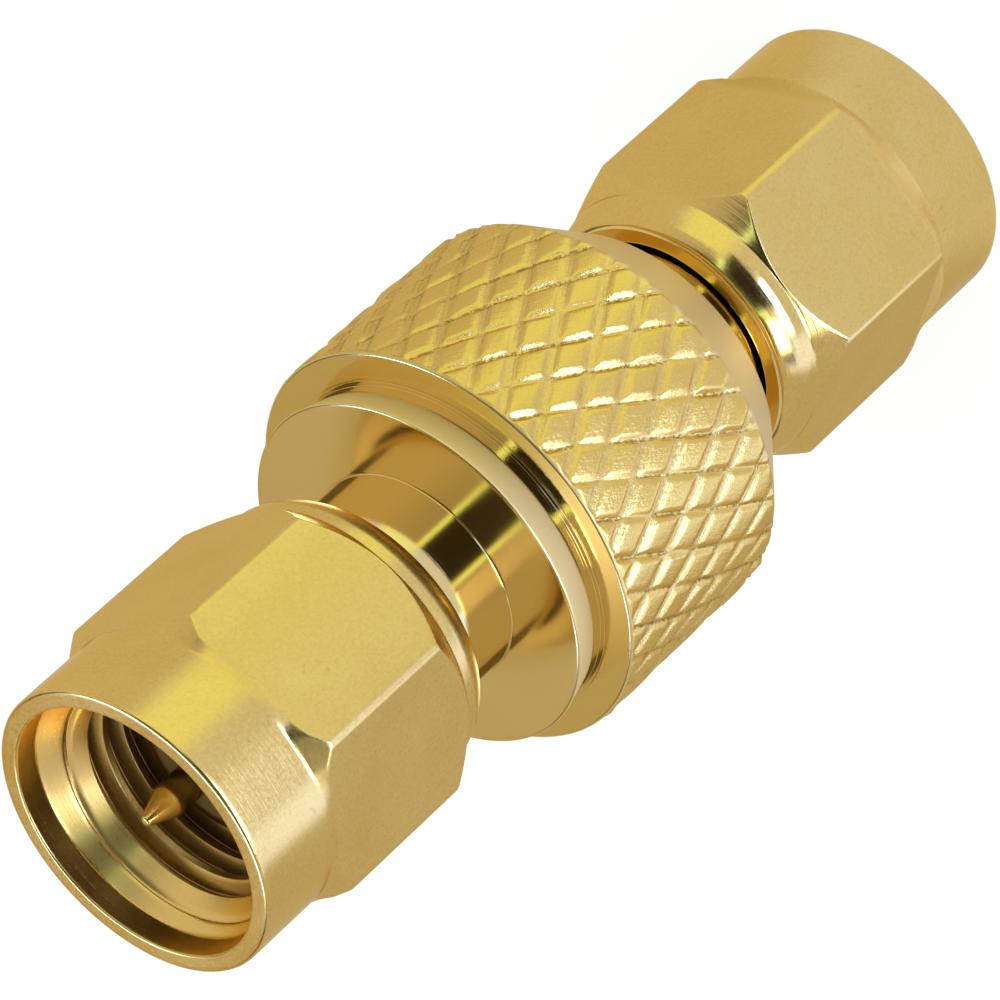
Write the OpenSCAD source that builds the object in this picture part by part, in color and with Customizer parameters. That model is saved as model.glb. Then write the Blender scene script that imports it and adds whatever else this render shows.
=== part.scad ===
// Coaxial adapter with a plug at both ends, standing on the rim of its lower coupling nut.
// Sizes are in millimetres. Z runs along the axis, with zero at the rim of the lower nut.

/* [Coupling nut] */
// Width across the flats of the hexagon
nut_af = 8; // [7.8:0.05:9]
// Length of the nut from its back face to its rim
nut_len = 8.9; // [8.6:0.1:10.5]
// Diameter of the round front stretch
nut_front_d = 8.18; // [7.9:0.02:8.4]
// Length of the round front stretch
nut_front_len = 2.47; // [1.5:0.05:3.2]
// Length of the cone that takes the hexagon's corners down to the round front
nut_corner_cone = 0.6; // [0.3:0.05:0.9]
// Diameter of the flat back face, where the rounding begins
nut_back_d = 7; // [6.8:0.02:7.4]
// Diameter of the round rear stretch
nut_round_d = 7.92; // [7.6:0.02:7.96]
// Length of the rounding between the back face and the round rear stretch
nut_rounding = 0.75; // [0.4:0.05:0.85]
// Length of the round rear stretch with its rounding
nut_round_len = 1; // [0.9:0.05:1.2]
// Length of the cone that takes the round rear stretch up to the hexagon's corners
nut_rear_cone = 0.8; // [0.4:0.05:1.1]
// Rounding of the rim's outer edge
nut_rim_break = 0.1; // [0.05:0.01:0.2]

/* [Coupling thread] */
// Major diameter of the coupling thread
thread_major_d = 6.35; // [6.1:0.05:6.5]
// Bore through the crests of the coupling thread
thread_minor_d = 5.6; // [5.4:0.05:5.8]
// Diameter of the plain mouth in front of the thread
mouth_d = 7.18; // [6.8:0.02:7.4]
// Depth of the plain mouth
mouth_depth = 0.7; // [0.5:0.05:1.2]
// Length of the lead-in cone between the mouth and the thread
lead_len = 1.1; // [0.8:0.05:1.4]

/* [Plug] */
// Diameter of the neck that the nut turns on
neck_d = 5.92; // [5.7:0.02:6.1]
// Reach of the neck into the nut, from the nut's back face
neck_reach = 3.3; // [3.1:0.05:3.6]
// Outer diameter of the thin sleeve that makes the outer contact
sleeve_d = 4.55; // [4.4:0.05:4.8]
// Depth of the sleeve's end behind the rim
sleeve_depth = 3.1; // [2.7:0.05:3.5]
// Bore of the sleeve, which holds the insulator
sleeve_bore = 4.13; // [3.9:0.01:4.2]
// Depth of the insulator's face behind the sleeve's end
insulator_recess = 1.1; // [0:0.05:1.4]

/* [Retaining ring] */
// Thickness of the split ring along the axis
ring_t = 0.45; // [0.3:0.05:0.6]
// Distance of the ring from the nut's back face
ring_place = 1.5; // [1.2:0.05:1.8]
// Depth of the neck's groove
neck_groove_depth = 0.42; // [0.3:0.02:0.5]
// Depth of the nut's groove beyond its rear bore
nut_groove_depth = 0.4; // [0.3:0.02:0.5]
// Angle of the ring's split
ring_split = 50; // [30:5:80]

/* [Gasket] */
// Thickness of the gasket on the neck's front face
gasket_t = 0.5; // [0.3:0.05:0.6]
// Width of the gasket between its bore and its rim
gasket_w = 0.55; // [0.3:0.05:0.6]

/* [Knurled barrel] */
// Diameter over the knurl
barrel_d = 11.48; // [11.2:0.02:12.4]
// Length of the barrel between its end faces
barrel_len = 8.02; // [7:0.05:9]
// Number of diamonds round the barrel
knurl_count = 33; // [24:1:40]
// Angle of the knurl's grooves to the axis
knurl_angle = 30; // [25:1:35]
// Depth of the knurl's grooves
knurl_depth = 0.2; // [0.1:0.02:0.3]
// Share of a diamond's width that its flat top takes
knurl_top = 0.46; // [0.3:0.02:0.8]
// Height of a row of groove crossings above the upper end face
knurl_shift = 0.11; // [0.05:0.01:0.9]
// Turn of the knurl round the barrel
knurl_turn = 4.4; // [0:0.1:10]
// Length of the smooth bevel at the lower end
bevel_len = 2.1; // [1.4:0.05:2.4]
// Angle of the smooth bevel to the axis
bevel_angle = 37; // [25:1:40]
// Chamfer at the upper end, across which the knurl runs out
barrel_chamfer = 0.24; // [0.22:0.02:0.4]

/* [Collar] */
// Diameter of the collar at its face
collar_d = 10.02; // [9.9:0.02:10.2]
// Height of the collar above the barrel
collar_h = 1.19; // [1:0.05:1.5]
// Height of the narrow step between the barrel and the collar's rim
collar_step = 0.32; // [0.2:0.02:0.5]
// Diameter of the narrow step, which the collar's rim tapers down to
collar_step_d = 9.58; // [9.4:0.02:9.7]
// Diameter of the step's foot on the barrel
collar_foot_d = 9.84; // [9.72:0.02:10]
// Height of the step's foot
collar_foot_h = 0.04; // [0.02:0.01:0.1]

/* [Spacing] */
// Neck in sight between the lower nut and the barrel
lower_gap = 1.23; // [0.8:0.02:1.6]
// Neck in sight between the collar and the upper nut
upper_gap = 2.06; // [1.5:0.02:2.6]
// Turn of the lower nut at rest, against the upper one
lower_turn = 20.5; // [0:0.5:60]

/* [Pressed joint] */
// Diameter of the insert's spigot, which is pressed into the barrel
spigot_d = 6.6; // [6.2:0.05:7.2]
// Length of the spigot
spigot_len = 2.9; // [2.2:0.1:3.4]
// Diameter of the insulators' shoulders
shoulder_d = 5; // [4.6:0.05:5.4]
// Length of each insulator's shoulder
shoulder_len = 1.2; // [0.8:0.1:1.6]

/* [Centre contact] */
// Diameter of the pins
pin_d = 0.91; // [0.8:0.01:1]
// Depth of the pin's tip behind the rim
pin_depth = 0.45; // [0.3:0.05:0.8]
// Length of the pin's cone
pin_cone_len = 0.85; // [0.5:0.05:1.1]
// Diameter of the pin's flat tip
pin_tip_d = 0.24; // [0.15:0.01:0.4]
// Diameter of the contact inside the insulators
contact_d = 1.27; // [1.1:0.01:1.4]
// Diameter of the contact's middle flange
flange_d = 1.9; // [1.7:0.05:2.2]
// Length of the contact's middle flange
flange_len = 0.6; // [0.4:0.05:0.8]

/* [Clearances] */
// Radial play of the nut on the neck
nut_play = 0.12; // [0.06:0.01:0.16]
// Axial travel of the nut and its ring along the neck
nut_travel = 0.3; // [0.2:0.02:0.36]
// Play round the retaining ring in both grooves
ring_play = 0.06; // [0.04:0.01:0.08]
// Radial allowance of the pieces that are pressed together
press_gap = 0.01; // [0.005:0.001:0.015]
// Room under the spigot's end
spigot_room = 0.1; // [0.05:0.01:0.2]

/* [Hidden] */
$fn = 96;

// How far cutting shapes run past what they cut
over = 1;

// Places along the axis, from the rim of the lower nut upwards
z_barrel = nut_len + lower_gap;
z_barrel_top = z_barrel + barrel_len;
z_collar = z_barrel_top + collar_h;
z_nut_upper = z_collar + upper_gap;
z_top = z_nut_upper + nut_len;
z_joint = z_barrel_top - spigot_len - spigot_room;

// Radii of the hexagon's corners, the barrel and its knurl
nut_corner_r = nut_af / 2 / cos(30);
barrel_r = barrel_d / 2;
valley_r = barrel_r - knurl_depth;
bevel_r = barrel_r - bevel_len * tan(bevel_angle);

// Places inside a plug, measured from the back face of its nut towards the rim
neck_bore_r = neck_d / 2 + nut_play;
groove_r = neck_bore_r + nut_groove_depth;
neck_groove_r = neck_d / 2 - neck_groove_depth;
relief_r = thread_major_d / 2 + nut_play;
thread_back = neck_reach + gasket_t + nut_travel + ring_play;
mouth_floor = nut_len - mouth_depth;
sleeve_end = nut_len - sleeve_depth;
insulator_end = sleeve_end - insulator_recess;
pin_end = nut_len - pin_depth;
rounding_steps = 8;

// Rows of groove crossings, from below the barrel's foot to above its upper face
knurl_pitch = 360 / knurl_count;
knurl_row = PI * barrel_d / knurl_count / tan(knurl_angle) / 2;
knurl_rows = ceil((barrel_len + knurl_shift) / knurl_row);
knurl_low = z_barrel_top + knurl_shift - knurl_rows * knurl_row;

gold = [0.80, 0.65, 0.32];
gold_pale = [0.86, 0.73, 0.43];
ptfe_white = [0.95, 0.95, 0.93];
gasket_red = [0.72, 0.24, 0.14];
spring_bronze = [0.72, 0.52, 0.28];

// Sets a plug's own frame upright on the upper nut's back face.
module at_upper_plug() {
  translate([0, 0, z_nut_upper]) children();
}

// Turns a plug's own frame over, onto the lower nut's back face.
module at_lower_plug() {
  translate([0, 0, nut_len]) rotate([180, 0, 0]) children();
}

// Point of the rounding at the nut's back, at angle a of its quarter turn.
function rounding_point(a) =
  let (rise = (nut_round_d - nut_back_d) / 2)
  [nut_back_d / 2 + rise * sin(a), nut_rounding * (1 - cos(a))];

// Outer section of the nut: rounded back, rear cone, corners, corner cone, round front and broken rim edge.
function nut_outline() =
  let (front_r = nut_front_d / 2)
  let (cone_top = nut_len - nut_front_len)
  concat(
    [[0, 0]],
    [for (k = [0 : rounding_steps]) rounding_point(90 * k / rounding_steps)],
    [
      [nut_round_d / 2, nut_round_len],
      [nut_corner_r, nut_round_len + nut_rear_cone],
      [nut_corner_r, cone_top - nut_corner_cone],
      [front_r, cone_top],
      [front_r, nut_len - nut_rim_break],
      [front_r - nut_rim_break, nut_len],
      [0, nut_len]
    ]
  );

// Inner section of the nut: rear bore, ring groove, thread relief, thread bore, lead-in cone and mouth.
function nut_hollow() =
  let (groove_low = ring_place - ring_play)
  let (groove_high = ring_place + ring_t + ring_play)
  [
    [0, -over],
    [neck_bore_r, -over],
    [neck_bore_r, groove_low],
    [groove_r, groove_low],
    [groove_r, groove_high],
    [relief_r, groove_high],
    [relief_r, thread_back],
    [thread_minor_d / 2, thread_back],
    [thread_minor_d / 2, mouth_floor - lead_len],
    [mouth_d / 2, mouth_floor],
    [mouth_d / 2, nut_len + over],
    [0, nut_len + over]
  ];

// Hexagon of the nut, with the round front stretch standing clear of the flats.
module nut_envelope() {
  rotate([0, 0, 30])
    cylinder(h = nut_len - nut_front_len, r = nut_corner_r, $fn = 6);
  translate([0, 0, nut_len - nut_front_len - nut_corner_cone / 2])
    cylinder(h = nut_front_len + nut_corner_cone / 2, d = nut_front_d);
}

module coupling_nut() {
  color(gold)
    difference() {
      intersection() {
        rotate_extrude() polygon(nut_outline());
        nut_envelope();
      }
      rotate_extrude() polygon(nut_hollow());
    }
}

// Split ring that rides in the nut's groove and slides in the wider groove of the neck.
module retaining_ring() {
  inner_r = neck_groove_r + ring_play;
  outer_r = groove_r - ring_play;
  wedge_r = 2 * outer_r;
  color(spring_bronze)
    translate([0, 0, ring_place])
      difference() {
        cylinder(h = ring_t, r = outer_r);
        translate([0, 0, -over]) cylinder(h = ring_t + 2 * over, r = inner_r);
        translate([0, 0, -over])
          linear_extrude(ring_t + 2 * over)
            polygon([
              [0, 0],
              wedge_r * [cos(ring_split / 2), sin(ring_split / 2)],
              wedge_r * [cos(ring_split / 2), -sin(ring_split / 2)]
            ]);
      }
}

// Gasket round the root of the sleeve, against the neck's front face.
module gasket() {
  color(gasket_red)
    translate([0, 0, neck_reach])
      difference() {
        cylinder(h = gasket_t, r = sleeve_d / 2 + press_gap + gasket_w);
        translate([0, 0, -over]) cylinder(h = gasket_t + 2 * over, r = sleeve_d / 2 + press_gap);
      }
}

// Neck with its ring groove, and the sleeve in front of it. root is where the neck begins.
function plug_outline(root) =
  let (groove_low = ring_place - ring_play)
  let (groove_high = ring_place + ring_t + nut_travel + ring_play)
  [
    [0, root],
    [neck_d / 2, root],
    [neck_d / 2, groove_low],
    [neck_groove_r, groove_low],
    [neck_groove_r, groove_high],
    [neck_d / 2, groove_high],
    [neck_d / 2, neck_reach],
    [sleeve_d / 2, neck_reach],
    [sleeve_d / 2, sleeve_end],
    [0, sleeve_end]
  ];

// Corner k of knurl row j, where two grooves cross.
function crossing(j, k) =
  let (turn = (k + (j % 2) / 2) * knurl_pitch)
  [valley_r * cos(turn), valley_r * sin(turn), knurl_low + j * knurl_row];

// Corner of a diamond's flat top, turned by share a of a pitch and raised by b rows from the diamond's centre.
function top_corner(j, k, a, b) =
  let (turn = (k + (j % 2) / 2 + 0.5 + a) * knurl_pitch)
  [barrel_r * cos(turn), barrel_r * sin(turn), knurl_low + (j + b) * knurl_row];

// Solid rod with flat-topped diamonds between two sets of crossed grooves.
module knurled_rod() {
  n = knurl_count;
  side = knurl_top / 2;
  crossings = [for (j = [0 : knurl_rows], k = [0 : n - 1]) crossing(j, k)];
  tops = [
    for (j = [0 : knurl_rows], k = [0 : n - 1])
      each [
        top_corner(j, k, -side, 0),
        top_corner(j, k, 0, j == knurl_rows ? 0 : knurl_top),
        top_corner(j, k, side, 0),
        top_corner(j, k, 0, j == 0 ? 0 : -knurl_top)
      ]
  ];
  faces = [
    for (j = [0 : knurl_rows], k = [0 : n - 1])
      let (left = j * n + k)
      let (right = j * n + (k + 1) % n)
      let (across = (k + j % 2) % n)
      let (above = (j + 1) * n + across)
      let (below = (j - 1) * n + across)
      let (t = len(crossings) + 4 * (j * n + k))
      each concat(
        j == knurl_rows
          ? [[left, t + 1, t], [left, right, t + 1], [right, t + 2, t + 1]]
          : [[left, above, t + 1], [left, t + 1, t], [above, right, t + 2], [above, t + 2, t + 1]],
        j == 0
          ? [[right, t + 3, t + 2], [right, left, t + 3], [left, t, t + 3]]
          : [[right, below, t + 3], [right, t + 3, t + 2], [below, left, t], [below, t, t + 3]],
        [[t, t + 1, t + 3], [t + 1, t + 2, t + 3]]
      )
  ];
  low_cap = [for (k = [0 : n - 1]) k];
  high_cap = [for (k = [n - 1 : -1 : 0]) knurl_rows * n + k];
  polyhedron(concat(crossings, tops), concat(faces, [low_cap, high_cap]));
}

// Section that trims the knurled rod: smooth lower bevel and upper chamfer, standing clear of the knurl between.
function barrel_outline() = [
  [0, z_barrel],
  [bevel_r, z_barrel],
  [barrel_r + over, z_barrel + bevel_len + over / tan(bevel_angle)],
  [barrel_r + over, z_barrel_top - barrel_chamfer - over],
  [barrel_r - barrel_chamfer, z_barrel_top],
  [0, z_barrel_top]
];

// Knurled rod turned down to the barrel's ends.
module barrel() {
  rotate([0, 0, knurl_turn])
    intersection() {
      knurled_rod();
      rotate_extrude($fn = 4 * knurl_count) polygon(barrel_outline());
    }
}

// Turned body: knurled barrel, lower neck and lower sleeve, bored from both ends.
module knurled_body() {
  color(gold)
    difference() {
      union() {
        barrel();
        at_lower_plug() rotate_extrude() polygon(plug_outline(-lower_gap - bevel_len / 2));
      }
      translate([0, 0, -nut_len]) cylinder(h = nut_len + z_joint, d = sleeve_bore);
      translate([0, 0, z_joint - shoulder_len]) cylinder(h = 2 * shoulder_len, d = shoulder_d);
      translate([0, 0, z_joint]) cylinder(h = z_top, d = spigot_d);
    }
}

// Section of the insert's collar: foot, narrow step, tapered rim and flat face, above the spigot.
function collar_outline() = [
  [0, z_barrel_top - spigot_len],
  [spigot_d / 2 - press_gap, z_barrel_top - spigot_len],
  [spigot_d / 2 - press_gap, z_barrel_top],
  [collar_foot_d / 2, z_barrel_top],
  [collar_foot_d / 2, z_barrel_top + collar_foot_h],
  [collar_step_d / 2, z_barrel_top + collar_foot_h],
  [collar_step_d / 2, z_barrel_top + collar_step],
  [collar_d / 2, z_collar],
  [0, z_collar]
];

// Turned insert that closes the barrel: spigot, collar, upper neck and upper sleeve.
module plug_insert() {
  color(gold)
    difference() {
      union() {
        rotate_extrude() polygon(collar_outline());
        at_upper_plug() rotate_extrude() polygon(plug_outline(-upper_gap - collar_h / 2));
      }
      translate([0, 0, z_joint]) cylinder(h = z_top, d = sleeve_bore);
      translate([0, 0, z_joint - shoulder_len]) cylinder(h = 2 * shoulder_len, d = shoulder_d);
    }
}

// Stepped insulator from the joint, at zero, to its face inside the sleeve, at reach.
module insulator(reach) {
  flange_room = flange_len / 2;
  color(ptfe_white)
    difference() {
      union() {
        cylinder(h = shoulder_len, r = shoulder_d / 2 - press_gap);
        cylinder(h = reach, r = sleeve_bore / 2 - press_gap);
      }
      translate([0, 0, -over]) cylinder(h = reach + 2 * over, r = contact_d / 2 + press_gap);
      translate([0, 0, -over]) cylinder(h = over + flange_room, r = flange_d / 2 + press_gap);
    }
}

module insulator_upper() {
  translate([0, 0, z_joint]) insulator(z_nut_upper + insulator_end - z_joint);
}

module insulator_lower() {
  translate([0, 0, z_joint]) rotate([180, 0, 0]) insulator(z_joint - nut_len + insulator_end);
}

// Half of the contact from the joint, at zero, to a pin's tip: flange, contact, pin and cone.
function contact_outline(shank, tip) = [
  [flange_d / 2, 0],
  [flange_d / 2, flange_len / 2],
  [contact_d / 2, flange_len / 2],
  [contact_d / 2, shank],
  [pin_d / 2, shank],
  [pin_d / 2, tip - pin_cone_len],
  [pin_tip_d / 2, tip],
  [0, tip]
];

// Contact with a pin at both ends, turned in one piece.
module centre_contact() {
  up = contact_outline(z_nut_upper + insulator_end - z_joint, z_nut_upper + pin_end - z_joint);
  down = contact_outline(z_joint - nut_len + insulator_end, z_joint - nut_len + pin_end);
  outline = concat(up, [for (k = [len(down) - 1 : -1 : 1]) [down[k][0], -down[k][1]]]);
  color(gold_pale)
    translate([0, 0, z_joint]) rotate_extrude() polygon(outline);
}

knurled_body();
plug_insert();
centre_contact();
insulator_lower();
insulator_upper();
at_lower_plug() gasket();  // gasket_lower
at_upper_plug() gasket();  // gasket_upper
at_lower_plug() retaining_ring();  // retaining_ring_lower
at_upper_plug() retaining_ring();  // retaining_ring_upper
at_lower_plug() rotate([0, 0, lower_turn]) coupling_nut();  // coupling_nut_lower
at_upper_plug() coupling_nut();  // coupling_nut_upper
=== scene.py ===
"""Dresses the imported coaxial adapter: turned, knurled and threaded gold surfaces round the CAD frame."""
import math

import bmesh
import bpy
import numpy as np
from mathutils import Matrix, Vector


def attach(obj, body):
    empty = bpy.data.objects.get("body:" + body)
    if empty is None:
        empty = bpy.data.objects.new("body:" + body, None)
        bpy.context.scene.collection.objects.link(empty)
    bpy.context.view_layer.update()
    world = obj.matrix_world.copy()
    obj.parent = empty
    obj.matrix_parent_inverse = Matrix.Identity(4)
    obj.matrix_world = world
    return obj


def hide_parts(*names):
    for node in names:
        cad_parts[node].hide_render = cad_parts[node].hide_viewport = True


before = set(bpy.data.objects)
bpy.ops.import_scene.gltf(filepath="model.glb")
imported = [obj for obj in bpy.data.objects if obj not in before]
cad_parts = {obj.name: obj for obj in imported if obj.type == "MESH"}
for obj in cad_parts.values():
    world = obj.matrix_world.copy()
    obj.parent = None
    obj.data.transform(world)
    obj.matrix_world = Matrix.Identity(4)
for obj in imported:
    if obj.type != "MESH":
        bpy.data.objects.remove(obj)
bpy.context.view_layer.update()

MM = 0.001
TURN = 2 * math.pi
WELD_METRES = 2e-7

# Sizes of the part's source, in millimetres.
NUT_LEN = 8.9
NUT_FLAT_R = 4.0
NUT_FRONT_R = 4.09
NUT_FRONT_AT = 6.43
NUT_CONE_LEN = 0.6
NUT_BACK_R = 3.5
NUT_ROUND_R = 3.96
NUT_ROUNDING = 0.75
NUT_ROUND_LEN = 1.0
NUT_REAR_CONE = 0.8
LOWER_TURN = math.radians(20.5)
THREAD_MAJOR_R = 3.175
THREAD_MINOR_R = 2.8
THREAD_PITCH = 0.7056
MOUTH_R = 3.59
MOUTH_FLOOR = 8.2
LEAD_LEN = 1.1
NECK_R = 2.96
NECK_REACH = 3.3
NECK_BORE_R = 3.08
NUT_GROOVE_R = 3.48
NUT_GROOVE = (1.44, 2.01)
NECK_GROOVE_R = 2.54
NECK_GROOVE = (1.44, 2.31)
RELIEF_R = 3.295
THREAD_BACK = 4.16
SLEEVE_R = 2.275
SLEEVE_BORE_R = 2.065
SLEEVE_END = 5.8
INSULATOR_END = 4.7
GASKET_T = 0.5
GASKET_W = 0.55
PRESS_GAP = 0.01
LEDGE_DROP = 0.01
BARREL_R = 5.74
BARREL_LOW = 10.13
BARREL_HIGH = 18.15
BEVEL_LEN = 2.1
BEVEL_SLOPE = math.tan(math.radians(37))
BARREL_EDGE = 0.07
KNURL_COUNT = 33
KNURL_DEPTH = 0.12
KNURL_TURN = math.radians(4.4)
KNURL_ANGLE = math.radians(30)
KNURL_SHIFT = 0.11
KNURL_ROWS = 9
KNURL_ROW = TURN * BARREL_R / KNURL_COUNT / math.tan(KNURL_ANGLE) / 2
KNURL_FIRST = BARREL_HIGH + KNURL_SHIFT - KNURL_ROWS * KNURL_ROW
COLLAR_FACE = 19.34
COLLAR_R = 5.01
COLLAR_STEP_R = 4.79
COLLAR_STEP_AT = 18.47
COLLAR_FOOT_R = 4.92
COLLAR_FOOT_AT = 18.19
UPPER_BACK = 21.4
JOINT_AT = 15.15
SPIGOT_R = 3.3
SPIGOT_END = 15.25
SHOULDER_R = 2.5
SHOULDER_LEN = 1.2
PIN_R = 0.455
PIN_TIP_R = 0.12
PIN_END = 8.45
PIN_CONE_LEN = 0.85
CONTACT_R = 0.635
FLANGE_R = 0.95
FLANGE_HALF = 0.3

# Columns round the turned pieces.
INSERT_COLUMNS = 192
RING_COLUMNS = 96
PIN_COLUMNS = 64


def eased(corners, cuts, steps=4, guard=1.7):
    """Profile through corners, each eased by its cut. A corner pulls a quadratic curve between two points
    a cut away on its edges, and one more point on each edge keeps the edge straight. A cut of 0 keeps the point.
    A corner is an (r, z) pair, or an array of pairs with one for each column, and a cut is a number or a column."""
    corners = [np.asarray(c, float) for c in corners]
    share = np.linspace(0, 1, steps + 1)
    rows = []
    for k, (corner, cut) in enumerate(zip(corners, cuts)):
        if np.ndim(cut) == 0 and cut == 0:
            rows.append(corner)
            continue
        back = corners[k - 1] - corner
        ahead = corners[(k + 1) % len(corners)] - corner
        back = back / np.linalg.norm(back, axis=-1, keepdims=True)
        ahead = ahead / np.linalg.norm(ahead, axis=-1, keepdims=True)
        rows.append(corner + guard * cut * back)
        rows.extend(corner + cut * ((1 - s) ** 2 * back + s ** 2 * ahead) for s in share)
        rows.append(corner + guard * cut * ahead)
    if max(r.ndim for r in rows) == 1:
        return np.stack(rows)
    columns = max(len(r) for r in rows if r.ndim == 2)
    return np.stack([np.broadcast_to(r, (columns, 2)) for r in rows])


def turned(profile, angles):
    """Surface of revolution: each row of (r, z) pairs is carried round the axis at the given angles."""
    profile = np.asarray(profile, float)
    if profile.ndim == 2:
        profile = np.repeat(profile[:, None, :], len(angles), 1)
    radius, height = profile[..., 0], profile[..., 1]
    return np.stack([radius * np.cos(angles), radius * np.sin(angles), height], -1)


def even_angles(count):
    """Angles of count columns, evenly round the axis."""
    return np.arange(count) * TURN / count


def grid_faces(rows, columns, closed, first=0):
    """Quads between neighbouring rows and columns of a grid that closes round the axis, and from last row to first if
    asked."""
    low = np.arange(rows if closed else rows - 1)[:, None]
    high = (low + 1) % rows
    left = np.arange(columns)[None, :]
    right = (left + 1) % columns
    quads = [low * columns + left, low * columns + right, high * columns + right, high * columns + left]
    return np.stack(quads, -1).reshape(-1, 4) + first


def make_piece(name, points, faces, nodes, body, finish, values=None):
    """Mesh from points in millimetres and faces, welded and facing outwards, which rides on a body for its nodes.
    The values, one number for each point under a name, are for the finish."""
    mesh = bpy.data.meshes.new(name)
    mesh.from_pydata(np.asarray(points, float) * MM, [], faces)
    for key, value in (values or {}).items():
        layer = mesh.attributes.new(key, "FLOAT", "POINT")
        layer.data.foreach_set("value", np.ascontiguousarray(value, dtype=np.float32))
    work = bmesh.new()
    work.from_mesh(mesh)
    bmesh.ops.remove_doubles(work, verts=work.verts, dist=WELD_METRES)
    bmesh.ops.recalc_face_normals(work, faces=work.faces)
    work.to_mesh(mesh)
    work.free()
    mesh.polygons.foreach_set("use_smooth", np.ones(len(mesh.polygons), bool))
    mesh.materials.append(finish)
    piece = bpy.data.objects.new(name, mesh)
    bpy.context.scene.collection.objects.link(piece)
    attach(piece, body)
    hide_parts(*nodes)
    return piece


def lathe_piece(name, profile, columns, nodes, body, finish, closed=True):
    """Turned piece whose profile closes on itself, or ends on the axis at both ends."""
    points = turned(profile, even_angles(columns))
    faces = grid_faces(len(points), columns, closed)
    return make_piece(name, points.reshape(-1, 3), faces.tolist(), nodes, body, finish)


def soft_least(*values, blend=0.025):
    """Smallest of several arrays, with the crossings rounded over the blend length: minus that length times the log
    of the sum of the exponentials of minus each value over that length, with values taken from the barrel's radius."""
    return -blend * np.log(sum(np.exp(-(v - BARREL_R) / blend) for v in values)) + BARREL_R


# Knurled body.

BODY_FINE = 22
BODY_COARSE = 6
BAND_FLOOR = 0.1
BAND_EDGE = 0.2
BAND_DEPTH = 0.66
NOTCH_EDGE = 0.15
NOTCH_SPREAD = 0.3
GROOVE_BLEND = 7
DIAMOND_DOME = 0.085
DIAMOND_TILT = 0.09
GROOVE_WANDER = 0.035
RUN_OUT = 0.05
FOOT_CLEAR = 0.12
HEAD_CLEAR = 0.05
END_REACH = 0.4
END_RING = 0.05
HASH_STEPS = (12.9898, 78.233, 37.719)
HASH_SCALE = 43758.5453


def scattered(first, second, seed):
    """Numbers between -1 and 1 that look random, one for each pair of whole numbers: the fraction of a steep sine."""
    by_first, by_second, by_seed = HASH_STEPS
    wave = np.sin(first * by_first + second * by_second + seed * by_seed) * HASH_SCALE
    return 2 * (wave - np.floor(wave)) - 1


def knurl_shape(angle, height):
    """Radius of the knurled barrel, how deep it lies in a groove and how far into a band. Two families of grooves run
    at whole numbers of u and v, which are the angle in diamonds plus and minus the height in diamonds. The u grooves
    are bands with a flat floor and the v grooves are sharp notches. The radius is the barrel's, less the deeper of the
    two and, between them, the diamond's own dome and tilt. It is no more than the lower bevel or upper edge allow."""
    around = (angle - KNURL_TURN) * KNURL_COUNT / TURN
    along = (height - KNURL_FIRST) / (2 * KNURL_ROW)
    u, v = around + along, around - along
    near_u, near_v, cell_u, cell_v = np.round(u), np.round(v), np.floor(u), np.floor(v)
    from_u = np.abs(u - near_u + GROOVE_WANDER * scattered(near_u, 0, 1))
    from_v = np.abs(v - near_v + GROOVE_WANDER * scattered(0, near_v, 2))
    band = np.clip((BAND_EDGE - from_u) / (BAND_EDGE - BAND_FLOOR), 0, 1)
    notch = np.clip(1 - from_v / NOTCH_EDGE, 0, 1) * (1 + NOTCH_SPREAD * scattered(cell_u, near_v, 5))
    groove = ((BAND_DEPTH * band) ** GROOVE_BLEND + notch ** GROOVE_BLEND) ** (1 / GROOVE_BLEND)
    along_u, along_v = u - cell_u - 0.5, v - cell_v - 0.5
    tilt = DIAMOND_TILT * (scattered(cell_u, cell_v, 3) * along_u + scattered(cell_u, cell_v, 4) * along_v)
    shape = KNURL_DEPTH * groove + (DIAMOND_DOME * (along_u ** 2 + along_v ** 2) - tilt) * np.clip(1 - groove, 0, 1)
    shape = shape * np.clip((BARREL_HIGH - BARREL_EDGE - height) / RUN_OUT, 0, 1)
    bevel = BARREL_R + (height - BARREL_LOW - BEVEL_LEN) * BEVEL_SLOPE
    edge = BARREL_R - (height - BARREL_HIGH + BARREL_EDGE)
    inside = BARREL_R - shape < np.minimum(bevel, edge)
    return soft_least(BARREL_R - shape, bevel, edge), groove * inside, band * inside


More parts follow.
